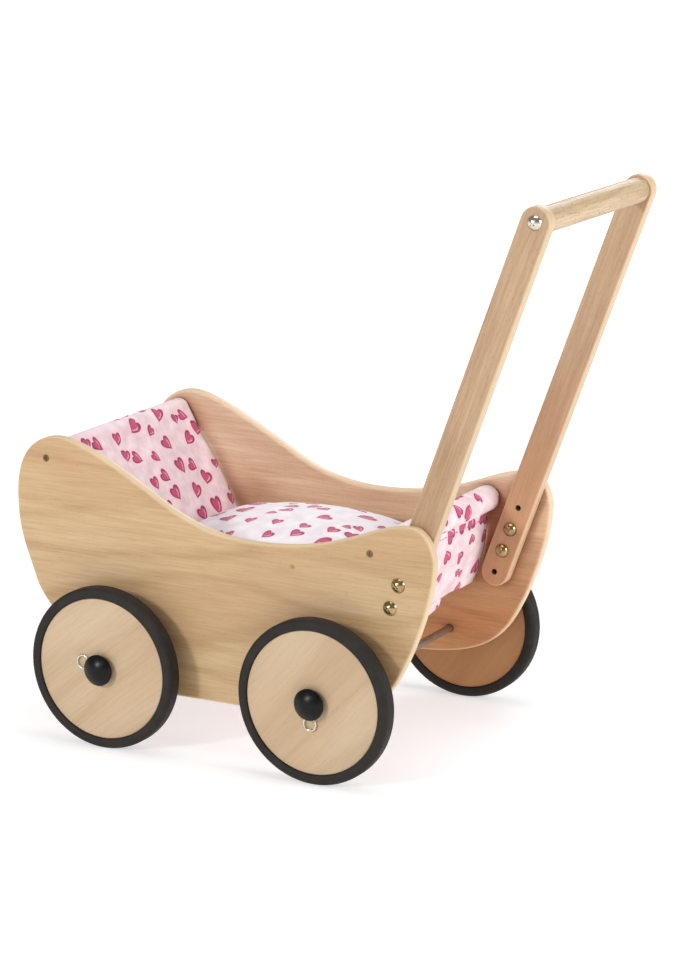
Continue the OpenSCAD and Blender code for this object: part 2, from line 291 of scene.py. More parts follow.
def makeHeartPrint(heart):
    # hearts scattered one to a cell, each with its own tilt and size; the vector is in metres on the cloth
    g = GroupMaker("heartPrint",
                   [("Vector", "Vector", None), ("Cell", "Float", 0.025), ("Wander", "Float", 0.75),
                    ("Heart Size", "Float", 0.25)],
                   [("Heart", "Float"), ("Outline", "Float"), ("Halo", "Float"), ("Gleam", "Float")])
    cells = g.scaled(g.given("Vector"), g.calc("DIVIDE", 1.0, g.given("Cell")))
    spots = {"Vector": cells, "Scale": 1.0, "Randomness": g.given("Wander")}
    nearest = g.add("TexVoronoi", spots, voronoi_dimensions="2D").outputs
    free = g.add("TexVoronoi", spots, voronoi_dimensions="2D", feature="N_SPHERE_RADIUS").outputs["Radius"]
    chance = g.add("SeparateColor", {"Color": nearest["Color"]}).outputs
    local = g.vector("SUBTRACT", cells, nearest["Position"])
    angle = g.spread(chance["Red"], 0.0, 1.0, -1.1, 1.1)
    turned = g.add("VectorRotate", {"Vector": local, "Angle": angle}, rotation_type="Z_AXIS").outputs[0]
    size = g.calc("MULTIPLY", g.given("Heart Size"), g.spread(chance["Green"], 0.0, 1.0, 0.5, 1.08))
    size = g.calc("MINIMUM", size, g.calc("DIVIDE", free, 1.25))  # keeps clear of its neighbours
    tall = g.spread(chance["Blue"], 0.0, 1.0, 0.82, 1.15)
    stretch = g.add("CombineXYZ", {"X": 1.0, "Y": tall, "Z": 1.0}).outputs[0]
    point = g.vector("MULTIPLY", g.scaled(turned, g.calc("DIVIDE", 1.0, size)), stretch)

    def shape(scale, edge):
        return g.add("Group", {"Vector": point, "Scale": scale, "Edge": edge}, node_tree=heart).outputs[0]

    full = shape(1.0, 0.07)
    ring = g.calc("SUBTRACT", shape(0.6, 0.12), shape(0.4, 0.12), clamp=True)
    lean = g.vector("DOT_PRODUCT", point, (0.8, -0.5, 0.0))
    gleam = g.calc("MULTIPLY", ring, g.spread(lean, 0.0, 0.4, smooth=True))
    shown = g.calc("GREATER_THAN", size, 0.15)  # hearts too small to read are left out
    outline = g.calc("SUBTRACT", full, shape(0.75, 0.1), clamp=True)
    masks = {"Heart": full, "Outline": outline, "Halo": shape(1.3, 0.3), "Gleam": gleam}
    for title, mask in masks.items():
        g.give(title, g.calc("MULTIPLY", mask, shown))
    return g.tree


def makeWeave():
    # plain weave of a given thread pitch, as height, with soft creases, and a mask for painted shade over the
    # creases and soft blotches
    g = GroupMaker("plainWeave",
                   [("Vector", "Vector", None), ("Thread", "Float", 0.0006), ("Crease", "Float", 0.5)],
                   [("Height", "Float"), ("Crease Shade", "Float")])
    fine = g.scaled(g.given("Vector"), g.calc("DIVIDE", 3.1416, g.given("Thread")))
    warp = g.calc("ABSOLUTE", g.calc("SINE", g.along(fine, "X")))
    weft = g.calc("ABSOLUTE", g.calc("SINE", g.along(fine, "Y")))
    threads = g.calc("MULTIPLY", warp, weft)
    crease = g.noise(g.given("Vector"), 38.0, 3.0, 0.55, 0.6)
    soft = g.noise(g.given("Vector"), 75.0, 2.0, 0.5)
    height = g.calc("MULTIPLY_ADD", crease, g.given("Crease"), g.calc("MULTIPLY", threads, 0.06))
    g.give("Height", height)
    # painted shade mask over the creases and soft blotches
    g.give("Crease Shade", g.calc("MULTIPLY_ADD", soft, 0.5, g.calc("MULTIPLY", crease, 0.5)))
    return g.tree


def makeStitches():
    # a row of stitches across the cloth at a given height on its map, in a shallow groove
    g = GroupMaker("stitchRow",
                   [("Vector", "Vector", None), ("Row", "Float", 0.0), ("Pitch", "Float", 0.0042)],
                   [("Thread", "Float"), ("Groove", "Float")])
    away = g.calc("ABSOLUTE", g.calc("SUBTRACT", g.along(g.given("Vector"), "Y"), g.given("Row")))
    count = g.calc("DIVIDE", g.along(g.given("Vector"), "X"), g.given("Pitch"))
    beat = g.calc("ABSOLUTE", g.calc("SUBTRACT", g.calc("FRACT", count), 0.5))
    dash = g.spread(beat, 0.36, 0.28, smooth=True)
    g.give("Thread", g.calc("MULTIPLY", g.spread(away, 0.0008, 0.0004, smooth=True), dash))
    g.give("Groove", g.spread(away, 0.003, 0.0, smooth=True))
    return g.tree


def makeWear():
    # fine scuffs and dust in two sizes, for rubber, plastic and metal
    g = GroupMaker("fineWear", [("Vector", "Vector", None), ("Scale", "Float", 1.0)],
                   [("Scuff", "Float"), ("Dust", "Float")])
    place = g.scaled(g.given("Vector"), g.given("Scale"))
    scuff = g.noise(place, 420.0, 4.0, 0.65, 1.5)
    dust = g.noise(place, 60.0, 3.0, 0.6)
    g.give("Scuff", g.spread(scuff, 0.45, 0.75))
    g.give("Dust", g.spread(dust, 0.4, 0.75))
    return g.tree


woodGrain = makeWoodGrain()
heartPrint = makeHeartPrint(makeHeartShape())
plainWeave = makeWeave()
stitchRow = makeStitches()
fineWear = makeWear()
print("node groups ready")


def rgb(*display):
    # display values from 0 to 255, as linear light
    shares = [value / 255 for value in display]
    return tuple(c / 12.92 if c <= 0.04 else ((c + 0.055) / 1.055) ** 2.4 for c in shares) + (1,)


woods = {
    "panelWood": {"light": (207, 178, 137), "dark": (170, 134, 91), "blush": (199, 164, 124),
                  "rings": 9, "figure": 0.3, "fibre": 0.6, "fleck": 0.25, "rim": (238, 219, 182)},
    # a paler copy of panelWood: painted light for the far panel's inner face
    "litPanelWood": {"light": (236, 213, 184), "dark": (200, 162, 126), "blush": (228, 200, 170),
                  "rings": 9, "figure": 0.3, "fibre": 0.7, "fleck": 0.3, "rim": (240, 216, 184)},
    "discWood": {"light": (203, 180, 149), "dark": (171, 142, 107), "blush": (197, 169, 137),
                 "rings": 7, "figure": 0.22, "fibre": 0.38, "fleck": 0.2, "rim": None},
    "armWood": {"light": (192, 162, 128), "dark": (156, 120, 88), "blush": (188, 154, 123),
                "rings": 7, "figure": 0.25, "fibre": 0.7, "fleck": 0.5, "rim": (230, 205, 168)},
    "gripWood": {"light": (210, 189, 156), "dark": (166, 132, 92), "blush": (204, 179, 142),
                 "rings": 8, "figure": 0.25, "fibre": 0.8, "fleck": 0.9, "rim": None},
    "rodWood": {"light": (220, 192, 150), "dark": (186, 150, 106), "blush": (214, 182, 140),
                "rings": 6, "figure": 0.3, "fibre": 0.5, "fleck": 0.5, "rim": None},
    "boardWood": {"light": (206, 172, 128), "dark": (170, 130, 88), "blush": (200, 162, 120),
                  "rings": 10, "figure": 0.5, "fibre": 0.5, "fleck": 0.3, "rim": None},
}


def paintedLowShade(f, color, look):
    # painted shade: another, deeper tone towards the ground, on the face that looks inward
    low = f.spread(f.along(f.add("TexCoord").outputs["Object"], "Z"), look["high"], look["low"])
    inward = f.spread(f.along(f.add("TexCoord").outputs["Normal"], "Y"), 0.2, -0.4)
    amount = f.calc("MULTIPLY", f.calc("MULTIPLY", low, inward), look["most"])
    return f.mix(amount, color, rgb(*look["tint"]), look["blend"])


def rimmed(f, color, rim):
    # a lighter tone where a board's rounded edge turns away from its flat face
    across = f.along(f.add("TexCoord").outputs["Normal"], "Y")
    return f.mix(f.spread(f.calc("ABSOLUTE", across), 0.97, 0.6, 0.0, 0.55), color, rgb(*rim))


def knotted(f, color, knot):
    # one small knot, drawn out through the board
    away = f.vector("SUBTRACT", f.add("TexCoord").outputs["Object"], knot["place"])
    away = f.vector("LENGTH", f.vector("MULTIPLY", away, knot["squeeze"]))
    amount = f.spread(away, knot["size"], knot["size"] * 0.2, 0.0, 0.7, smooth=True)
    return f.mix(amount, color, rgb(*knot["color"]))


def paintedCreviceShade(f, color, creviceShade):
    # painted shade: a deeper tone where another piece stands close
    openness = f.add("AmbientOcclusion", {"Distance": creviceShade["reach"]}, samples=16).outputs["AO"]
    return f.mix(f.spread(openness, 0.9, 0.35), color, rgb(*creviceShade["tint"]), "MULTIPLY")


def woodFinish(name, key, turn=(0, 0, 0), offset=(0, 0, 0), knot=None, lowShade=None, creviceShade=None):
    look = woods[key]
    f = Finish(name, {"Specular IOR Level": 0.35, "Coat Weight": 0.12, "Coat Roughness": 0.35})
    grain = f.group(woodGrain, {"Vector": f.place(turn, offset), "Light Color": rgb(*look["light"]),
                                "Dark Color": rgb(*look["dark"]), "Blush Color": rgb(*look["blush"]),
                                "Ring Count": look["rings"], "Figure": look["figure"],
                                "Fibre": look["fibre"], "Fleck": look["fleck"]})
    color = grain["Color"]
    # painted shade towards the ground on the inward face, when asked for
    if lowShade:
        color = paintedLowShade(f, color, lowShade)
    if look["rim"]:
        color = rimmed(f, color, look["rim"])
    if knot:
        color = knotted(f, color, knot)
    # painted shade where another piece stands close, when asked for
    if creviceShade:
        color = paintedCreviceShade(f, color, creviceShade)
    f.set("Base Color", color)
    f.set("Roughness", grain["Roughness"])
    f.bump(grain["Height"], 0.12, 0.0008)
    return f.material


clothSurface = {"Roughness": 0.92, "Specular IOR Level": 0.2, "Sheen Weight": 0.25, "Sheen Roughness": 0.6}
clothLook = {"heart": (204, 70, 116), "line": (140, 40, 84), "gleam": (240, 190, 208),
             "thread": (176, 112, 142), "wander": 0.72}
# in each tint, the second ground colour is painted shade for creases and soft blotches
slingTint = {"cell": 0.029, "size": 0.37,
             "ground": (250, 230, 234), "creaseShade": (232, 202, 208), "halo": (255, 204, 216)}
duvetTint = {"cell": 0.031, "size": 0.34,
             "ground": (248, 243, 246), "creaseShade": (236, 226, 233), "halo": (252, 222, 232)}


def printedCloth(name, tint, weave, crease, seams=()):
    # seams: map heights of the rows of stitches across the cloth
    f = Finish(name, clothSurface)
    flat = f.add("UVMap", uv_map="clothMap").outputs[0]
    prints = f.group(heartPrint, {"Vector": flat, "Cell": tint["cell"], "Wander": clothLook["wander"],
                                  "Heart Size": tint["size"]})
    cloth = f.group(plainWeave, {"Vector": flat, "Thread": 0.0007, "Crease": crease})
    # painted shade over creases and soft blotches
    color = f.mix(f.spread(cloth["Crease Shade"], 0.38, 0.62), rgb(*tint["ground"]), rgb(*tint["creaseShade"]))
    color = f.mix(prints["Halo"], color, rgb(*tint["halo"]))
    for mask, key in (("Heart", "heart"), ("Outline", "line"), ("Gleam", "gleam")):
        color = f.mix(prints[mask], color, rgb(*clothLook[key]))
    height = cloth["Height"]
    for row in seams:
        stitches = f.group(stitchRow, {"Vector": flat, "Row": row})
        color = f.mix(stitches["Thread"], color, rgb(*clothLook["thread"]))
        height = f.calc("SUBTRACT", height, stitches["Groove"])
    f.set("Base Color", color)
    f.bump(height, weave, 0.0028)
    return f.material


def plainCloth(name, color, shade):
    f = Finish(name, {**clothSurface, "Sheen Weight": 0.2})
    place = f.add("TexCoord").outputs["Object"]
    cloth = f.group(plainWeave, {"Vector": place, "Thread": 0.0008, "Crease": 0.4})
    # painted shade over creases and soft blotches
    f.set("Base Color", f.mix(cloth["Crease Shade"], rgb(*color), rgb(*shade)))
    f.bump(cloth["Height"], 0.4, 0.0012)
    return f.material


satin = {"Specular IOR Level": 0.22}
metal = {"Metallic": 1.0}
wornLooks = {
    "tyreRubber": {"color": (38, 35, 31), "dusty": (54, 50, 45), "rough": (0.6, 0.85), "bump": 0.25,
                   "surface": satin},
    "capPlastic": {"color": (9, 9, 9), "dusty": (22, 22, 22), "rough": (0.3, 0.42), "bump": 0.04,
                   "dust": 0.3, "surface": satin},
    "sleevePlastic": {"color": (34, 34, 35), "dusty": (60, 60, 60), "rough": (0.45, 0.7)},
    "boredWood": {"color": (112, 78, 50), "dusty": (84, 56, 36), "rough": (0.7, 0.9), "bump": 0.3,
                  "scale": 3.0},
    "axleSteel": {"color": (176, 168, 156), "dusty": (140, 126, 110), "rough": (0.38, 0.6), "surface": metal},
    "clipWire": {"color": (222, 218, 208), "dusty": (180, 170, 150), "rough": (0.16, 0.35), "surface": metal},
    "darkScrew": {"color": (132, 108, 82), "dusty": (84, 64, 46), "rough": (0.35, 0.6), "surface": metal},
    "nickelPlate": {"color": (214, 206, 192), "dusty": (160, 148, 128), "rough": (0.12, 0.28),
                    "surface": metal},
    "brassPlate": {"color": (182, 160, 118), "dusty": (112, 90, 56), "rough": (0.16, 0.32), "dust": 0.9,
                   "surface": metal},
}


def wornFinish(name, color, dusty, rough, surface=None, scale=1.0, bump=0.1, dust=0.5):
    f = Finish(name, surface or {})
    wear = f.group(fineWear, {"Vector": f.add("TexCoord").outputs["Object"], "Scale": scale})
    f.set("Base Color", f.mix(f.calc("MULTIPLY", wear["Dust"], dust), rgb(*color), rgb(*dusty)))
    f.set("Roughness", f.spread(wear["Scuff"], 0.0, 1.0, *rough))
    f.bump(wear["Scuff"], bump, 0.0003)
    return f.material


worn = {name: wornFinish(name, **look) for name, look in wornLooks.items()}
duvetPrint = printedCloth("duvetPrint", duvetTint, 0.4, 0.6)
padCotton = plainCloth("padCotton", (244, 240, 236), (232, 226, 220))
print("materials ready")


def turnSum(points):
    # twice the area of a closed outline, above zero when it runs counter-clockwise
    return sum(a[0] * b[1] - b[0] * a[1] for a, b in zip(points, points[1:] + points[:1]))


def outlineLoops(node, outer):
    # the closed loops round the flat face of a board, as points in X and Z, longest first
    bm = bmesh.new()
    bm.from_mesh(nodes[node].data)
    bmesh.ops.remove_doubles(bm, verts=bm.verts, dist=1e-6)
    faces = [f for f in bm.faces if f.normal.y * outer > 0.999]
    level = max(f.calc_center_median().y * outer for f in faces)
    face = {f for f in faces if f.calc_center_median().y * outer > level - 1e-5}
    nexts = {}
    for f in face:
        for loop in f.loops:
            if not any(g in face and g is not f for g in loop.edge.link_faces):
                nexts[loop.vert.index] = loop.link_loop_next.vert.index
    places = {v.index: (v.co.x, v.co.z) for v in bm.verts}
    bm.free()
    loops = []
    while nexts:
        start = min(nexts)
        chain = [start]
        step = nexts.pop(start)
        while step != start:
            chain.append(step)
            step = nexts.pop(step)
        loops.append([places[i] for i in chain])
    loops.sort(key=lambda points: -abs(turnSum(points)))
    outline = loops[0] if turnSum(loops[0]) > 0 else loops[0][::-1]
    return [outline] + loops[1:]


def eased(points, steps):
    # extra points on a smooth curve through a closed outline
    made = []
    count = len(points)
    for i in range(count):
        a, b, c, d = (Vector(points[(i + k) % count]) for k in (-1, 0, 1, 2))
        for s in range(steps):
            t = s / steps
            made.append(0.5 * (2 * b + (c - a) * t + (2 * a - 5 * b + 4 * c - d) * t * t
                               + (3 * b - a - 3 * c + d) * t ** 3))
    return made


def insetBy(points, distance):
    # a counter-clockwise outline moved inwards
    made = []
    count = len(points)
    for i in range(count):
        a, b, c = (Vector(points[(i + k) % count]) for k in (-1, 0, 1))
        along = ((b - a).normalized() + (c - b).normalized()).normalized()
        made.append(b + Vector((-along.y, along.x)) * distance)
    return made


def roundedBoard(name, node, outer, shape, material):
    # the node's outline between its two faces, with rounded edges and clean round holes
    low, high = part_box(node)[0].y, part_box(node)[1].y
    outline, *holes = outlineLoops(node, outer)
    outline = eased(outline, shape["smoothing"])
    radius, steps = shape["edge"], shape["steps"]
    bm = bmesh.new()
    rows = []
    for k in range(steps + 1):
        a = math.radians(90) * k / steps
        rows.append((radius * (1 - math.sin(a)), high - radius * (1 - math.cos(a))))
    rows += [(inset, low + high - y) for inset, y in reversed(rows)]
    rings = []
    for inset, y in rows:
        points = insetBy(outline, inset) if inset else outline
        rings.append([bm.verts.new((p[0], y, p[1])) for p in points])
    count = len(outline)
    for upper, lower in zip(rings, rings[1:]):
        for i in range(count):
            j = (i + 1) % count
            bm.faces.new((upper[i], upper[j], lower[j], lower[i])).smooth = True
    walls = []
    for hole in holes:
        wall = [[bm.verts.new((p[0], y, p[1])) for p in hole] for y in (high, low)]
        walls.append(wall)
        for i in range(len(hole)):
            j = (i + 1) % len(hole)
            side = bm.faces.new((wall[0][i], wall[1][i], wall[1][j], wall[0][j]))
            side.smooth = True
            side.material_index = 1
    for ring, level in ((rings[0], 0), (rings[-1], 1)):
        border = [ring] + [wall[level] for wall in walls]
        flat = [v for part in border for v in part]
        for corner in tessellate_polygon([[v.co for v in part] for part in border]):
            bm.faces.new([flat[i] for i in corner])
    bmesh.ops.recalc_face_normals(bm, faces=bm.faces)
    piece = newPiece(name, bm, material, "frame", [node])
    piece.data.materials.append(worn["boredWood"])


panelShape = {"edge": 0.0034, "steps": 4, "smoothing": 3}
panelKnot = {"place": (0.0292, -0.141, 0.2134), "squeeze": (1, 0.2, 1.2), "size": 0.0042,
             "color": (146, 104, 72)}
# painted shade on the far panel's inner face, deeper towards the ground where the near panel and sling shade
# it
panelLowShade = {"high": 0.27, "low": 0.1, "tint": (230, 190, 150), "blend": "MULTIPLY", "most": 1.0}
# painted shade on the far panel's inner face, where the arm and the cloth stand close
panelCreviceShade = {"reach": 0.026, "tint": (188, 132, 114)}


def buildPanels():
    near = woodFinish("leftPanelWood", "panelWood", offset=(0.0, 0.3, 0.1), knot=panelKnot)
    # the far panel takes the paler wood as painted light, with painted shade low down and in crevices
    far = woodFinish("rightPanelWood", "litPanelWood", offset=(0.7, 0.1, 0.55), lowShade=panelLowShade,
                     creviceShade=panelCreviceShade)
    for side, outer, wood in (("left", -1, near), ("right", 1, far)):
        roundedBoard("sidePanel" + side.title(), "side_panel_" + side, outer, panelShape, wood)


armShape = {"edge": 0.0022, "steps": 3, "smoothing": 1, "width": 0.0315}
# painted shade on the far arm's lower end, a warmer tone where the near arm and panel shade it
farArmLowShade = {"high": 0.4, "low": 0.13, "tint": (214, 148, 100), "blend": "MIX", "most": 0.52}


def armLean():
    # lean from upright, between the centres of an arm's round ends
    low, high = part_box("handle_arm_left")
    return math.atan2(high.x - low.x - armShape["width"], high.z - low.z - armShape["width"])


def buildArms():
    turn = (0, math.radians(90) - armLean(), 0)
    for side, outer, shift, lowShade in (("left", -1, 0.0, None), ("right", 1, 0.37, farArmLowShade)):
        wood = woodFinish("armWood" + side.title(), "armWood", turn=turn,
                          offset=(shift, 0.2, 0.1 + shift), lowShade=lowShade)
        roundedBoard("handleArm" + side.title(), "handle_arm_" + side, outer, armShape, wood)


buildPanels()
buildArms()
print("panels and arms built")


def turnedPiece(name, profile, centre, material, body, replaced, segments):
    # profile: closed loop of radius and Y, turned about an axis along Y through centre
    bm = bmesh.new()
    rings = []
    for s in range(segments):
        a = 2 * math.pi * s / segments
        sine, cosine = math.sin(a), math.cos(a)
        rings.append([bm.verts.new((centre.x + r * sine, y, centre.z + r * cosine)) for r, y in profile])
    count = len(profile)
    for s in range(segments):
        here, there = rings[s], rings[(s + 1) % segments]
        for i in range(count):
            j = (i + 1) % count
            bm.faces.new((here[i], there[i], there[j], here[j]))
    bmesh.ops.remove_doubles(bm, verts=bm.verts, dist=1e-7)
    bmesh.ops.recalc_face_normals(bm, faces=bm.faces)
    smoothShade(newPiece(name, bm, material, body, replaced))


def corner(r, y, radius, start, steps):
    # quarter turn about (r, y), from start degrees, as radius and Y
    return [(r + radius * math.cos(math.radians(start + 90 * k / steps)),
             y + radius * math.sin(math.radians(start + 90 * k / steps))) for k in range(steps + 1)]


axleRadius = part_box("axle_front")[1].z - middle("axle_front").z
discShape = {"edge": 0.0012, "steps": 3, "play": 0.00005, "segments": 128, "grainTurn": 38, "grainStep": 9}
# painted shade on the inward faces of the far wheel discs
farDiscLowShade = {"high": 0.4, "low": 0.2, "tint": (238, 198, 158), "blend": "MULTIPLY", "most": 1.0}


def discRadius(where):
    low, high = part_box("wheel_disc_" + where)
    return (high.x - low.x) / 2


def buildDisc(where, shift):
    node = "wheel_disc_" + where
    low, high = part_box(node)
    edge, steps = discShape["edge"], discShape["steps"]
    bore = axleRadius + discShape["play"]
    reach = discRadius(where) - edge
    profile = [(bore, low.y), (bore, high.y)]
    profile += corner(reach, high.y - edge, edge, 0, steps)[::-1]
    profile += corner(reach, low.y + edge, edge, 270, steps)[::-1]
    turn = math.radians(discShape["grainTurn"] + shift * discShape["grainStep"])
    # far discs get painted shade on their inward faces
    wood = woodFinish("discWood_" + where, "discWood", turn=(0, turn, 0),
                      offset=(shift, 0.4 - shift, 0.3 * shift),
                      lowShade=farDiscLowShade if where.endswith("right") else None)
    turnedPiece("wheelDisc_" + where, profile, middle(node), wood, "wheel_" + where, [node],
                discShape["segments"])


tyreShape = {"shoulder": 0.0052, "shoulderSteps": 6, "bead": 0.0016, "beadSteps": 3, "play": 0.0001,
             "segments": 160}


def buildTyre(where):
    node = "tyre_" + where
    low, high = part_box(node)
    shoulder, bead = tyreShape["shoulder"], tyreShape["bead"]
    outside = (high.x - low.x) / 2 - shoulder
    seat = discRadius(where) + tyreShape["play"] + bead
    profile = corner(seat, high.y - bead, bead, 90, tyreShape["beadSteps"])[::-1]
    profile += corner(outside, high.y - shoulder, shoulder, 0, tyreShape["shoulderSteps"])[::-1]
    profile += corner(outside, low.y + shoulder, shoulder, 270, tyreShape["shoulderSteps"])[::-1]
    profile += corner(seat, low.y + bead, bead, 180, tyreShape["beadSteps"])[::-1]
    turnedPiece("tyreRing_" + where, profile, middle("wheel_disc_" + where), worn["tyreRubber"],
                "wheel_" + where, [node], tyreShape["segments"])


capShape = {"rim": 0.0028, "lip": 0.0009, "boreShare": 0.7, "steps": 14, "segments": 64}


def buildCap(where):
    # a rim against the wheel, then a dome that is a slice of a ball
    outer = -1 if where.endswith("left") else 1
    node = "axle_cap_" + where
    low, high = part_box(node)
    radius = (high.x - low.x) / 2
    inside = low.y if outer > 0 else high.y
    rim, lip, steps = capShape["rim"], capShape["lip"], capShape["steps"]
    height = high.y - low.y - rim
    ball = (radius ** 2 + height ** 2) / (2 * height)
    span = math.asin(radius / ball)
    depth = inside + outer * (rim + height) * capShape["boreShare"]
    profile = [(0.0, depth), (axleRadius, depth), (axleRadius, inside)]
    profile += [(radius - lip, inside), (radius, inside + outer * lip), (radius, inside + outer * rim)]
    for k in range(1, steps + 1):
        a = span * (1 - k / steps)
        profile.append((ball * math.sin(a), inside + outer * (rim + height - ball + ball * math.cos(a))))
    turnedPiece("axleCap_" + where, profile, middle(node), worn["capPlastic"], "frame", [node],
                capShape["segments"])


for index, where in enumerate(wheels):
    buildDisc(where, index * 0.53)
    buildTyre(where)
    buildCap(where)
print("wheels built")


keptWoods = {"head_rod": "rodWood", "foot_rod": "rodWood", "base_board": "boardWood", "grip_bar": "gripWood"}
keptWorn = {"rod_screws": "darkScrew", "grip_screws": "nickelPlate", "handle_bolts": "brassPlate",
            "handle_cap_nuts": "brassPlate", "axle_front": "axleSteel", "axle_rear": "axleSteel",
            "axle_sleeves": "sleevePlastic"}
for where in wheels:
    keptWorn["axle_clip_" + where] = "clipWire"


def setMaterial(node, material):
    nodes[node].data.materials.clear()
    nodes[node].data.materials.append(material)


for node, key in keptWoods.items():
    grainTurn = 0 if key == "boardWood" else math.radians(90)  # rods and grip run across, the board along
    setMaterial(node, woodFinish(key + "_" + node, key, turn=(0, 0, grainTurn), offset=(0.2, 0.1, 0.3)))
for node, key in keptWorn.items():
    setMaterial(node, worn[key])
edge = nodes["grip_bar"].modifiers.new("edge", "BEVEL")
edge.width = 0.0008
edge.segments = 2
edge.limit_method = "ANGLE"
print("fittings finished")


slingShape = {"loop": 0.0132, "thick": 0.0011, "step": 0.004, "wave": 0.0022, "pucker": 0.0014,
              "sway": 0.0014, "spare": 0.0013, "tail": 0.016, "bulge": 0.006, "headOver": 0.009,
              "footOver": 0.006}


def arcPoints(centre, radius, start, stop, steps):
    # start and stop in degrees, counted from +X towards +Z
    angles = [math.radians(start + (stop - start) * k / steps) for k in range(steps + 1)]
    return [Vector((centre[0] + radius * math.cos(a), centre[1] + radius * math.sin(a))) for a in angles]


def resampled(points, step):
    # evenly spaced points along a path, and its length
    lengths = [0.0]
    for a, b in zip(points, points[1:]):
        lengths.append(lengths[-1] + (b - a).length)
    count = max(2, round(lengths[-1] / step))
    made = []
    k = 0
    for i in range(count + 1):
        goal = lengths[-1] * i / count
        while k < len(points) - 2 and lengths[k + 1] < goal:
            k += 1
        share = (goal - lengths[k]) / max(lengths[k + 1] - lengths[k], 1e-9)
        made.append(points[k].lerp(points[k + 1], share))
    return made, lengths[-1]


def slingPath():
    # from the stitched hem at the head rod, round it, down, along the floor, up and round the foot rod
    head = middle("head_rod").xz
    foot = middle("foot_rod").xz
    low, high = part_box("base_board")
    loop = slingShape["loop"]
    under = low.z - slingShape["thick"]
    headCorner = Vector((low.x - slingShape["headOver"], under))
    footCorner = Vector((high.x + slingShape["footOver"], under))
    slope = (head - headCorner).normalized()
    side = Vector((slope.y, -slope.x))
    slopeAngle = math.degrees(math.atan2(side.y, side.x))
    points = [head - slope * (loop + slingShape["tail"]) + side * (loop * 0.62 - 0.002)]  # hem
    points += [head - slope * (loop + 0.003) + side * (loop * 0.5 - 0.002)]
    points += arcPoints(head, loop, slopeAngle - 105, slopeAngle - 345, 24)  # round the head rod
    points += [head - slope * (loop * 1.1) + side * (loop * 0.8)]
    points += [head - slope * (loop * 2.2) + side * (loop * 0.72)]
    points += [headCorner + slope * 0.02 + side * 0.001, headCorner + slope * 0.006 + side * 0.001]
    points += [headCorner + Vector((0.005, 0.0))]  # then along the floor
    points += [footCorner - Vector((0.004, 0.0)), footCorner]
    neck = foot + Vector((-0.0015, -loop * 1.05))
    wall = neck - footCorner
    out = Vector((wall.y, -wall.x)).normalized()
    for t in (0.03, 0.12, 0.25, 0.4, 0.55, 0.7, 0.85):
        points.append(footCorner + wall * t + out * slingShape["bulge"] * math.sin(math.pi * t) ** 0.8)
    points += [neck]
    points += arcPoints(foot, loop, -80, 235, 28)  # round the foot rod
    points += [foot + Vector((-0.0045, -loop * 1.15)), foot + Vector((-0.0048, -loop - slingShape["tail"]))]
    return points


def footSeam(points, length):
    # map height of the seam that closes the tunnel round the foot rod
    centre = middle("foot_rod").xz
    entry = len(points) // 2
    reach = slingShape["loop"] * 1.25
    near = min(i for i, p in enumerate(points) if i > entry and (p - centre).length < reach)
    return length * (1 - (near - 2) / (len(points) - 1))


slingWave = {"stillTo": 0.016, "freeOver": 0.03, "puckerAt": 0.019, "puckerOver": 0.006,
             "curl": 0.0012, "curlOver": 0.012, "swayOver": 0.02}


def slingWaves(s, y, edge, nearRod):
    # how far a point of the cloth stands off its path, and how far it gives sideways
    free = min(1.0, max(0.0, (nearRod - slingWave["stillTo"]) / slingWave["freeOver"]))
    pucker = math.exp(-((nearRod - slingWave["puckerAt"]) / slingWave["puckerOver"]) ** 2)
    rough = noise.noise(Vector((s * 14, y * 11, 2.7))) * slingShape["wave"] * (0.25 + free)
    rough += noise.noise(Vector((s * 40, y * 34, 8.1))) * slingShape["wave"] * 0.5
    curl = math.exp(-(edge / slingWave["curlOver"]) ** 2) * slingWave["curl"]
    curl *= math.sin(s * 46 + (1 if y > 0 else 4))
    gather = math.sin(y * 520 + 3 * noise.noise(Vector((y * 25, 0, 5)))) * slingShape["pucker"] * pucker
    sway = noise.noise(Vector((s * 26, 1 if y > 0 else 5, 3.3))) * slingShape["sway"] + slingShape["spare"]
    sway *= (1 if y > 0 else -1) * math.exp(-(edge / slingWave["swayOver"]) ** 2)
    return rough * free + curl * free + gather, sway


def thicken(piece, thick):
    solid = piece.modifiers.new("thickness", "SOLIDIFY")
    solid.thickness = thick
    solid.offset = 0


def buildSling():
    low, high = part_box("fabric_sling")
    points, length = resampled(slingPath(), slingShape["step"])
    slingPrint = printedCloth("slingPrint", slingTint, 0.55, 0.7, [footSeam(points, length)])
    width = high.y - low.y
    across = round(width / slingShape["step"])
    count = len(points) - 1
    head = middle("head_rod").xz
    foot = middle("foot_rod").xz
    bm = bmesh.new()
    grid = []
    for i, p in enumerate(points):
        before, after = points[max(i - 1, 0)], points[min(i + 1, count)]
        along = (after - before).normalized()
        normal = Vector((-along.y, along.x))
        nearRod = min((p - head).length, (p - foot).length)
        row = []
        for k in range(across + 1):
            y = low.y + width * k / across
            shift, sway = slingWaves(length * i / count, y, min(y - low.y, high.y - y), nearRod)
            row.append(bm.verts.new((p.x + normal.x * shift, y + sway, p.y + normal.y * shift)))
        grid.append(row)
    layer = bm.loops.layers.uv.new("clothMap")
    for i in range(count):
        for k in range(across):
            face = bm.faces.new((grid[i][k], grid[i + 1][k], grid[i + 1][k + 1], grid[i][k + 1]))
            face.smooth = True
            for loop, (a, b) in zip(face.loops, ((i, k), (i + 1, k), (i + 1, k + 1), (i, k + 1))):
                loop[layer].uv = (width * b / across, length * (1 - a / count))
    piece = newPiece("clothSling", bm, slingPrint, "frame", ["fabric_sling"])
    thicken(piece, slingShape["thick"])
    print("sling sheet, flat size", round(width, 3), "by", round(length, 3), "m")
    return slingPrint


tabShape = {"half": 0.0555, "deep": 0.013, "shallow": 0.0066, "thick": 0.0011, "grid": (30, 4),
            "over": 0.0052, "under": 0.002, "lean": 0.0015, "ripple": 0.0006}


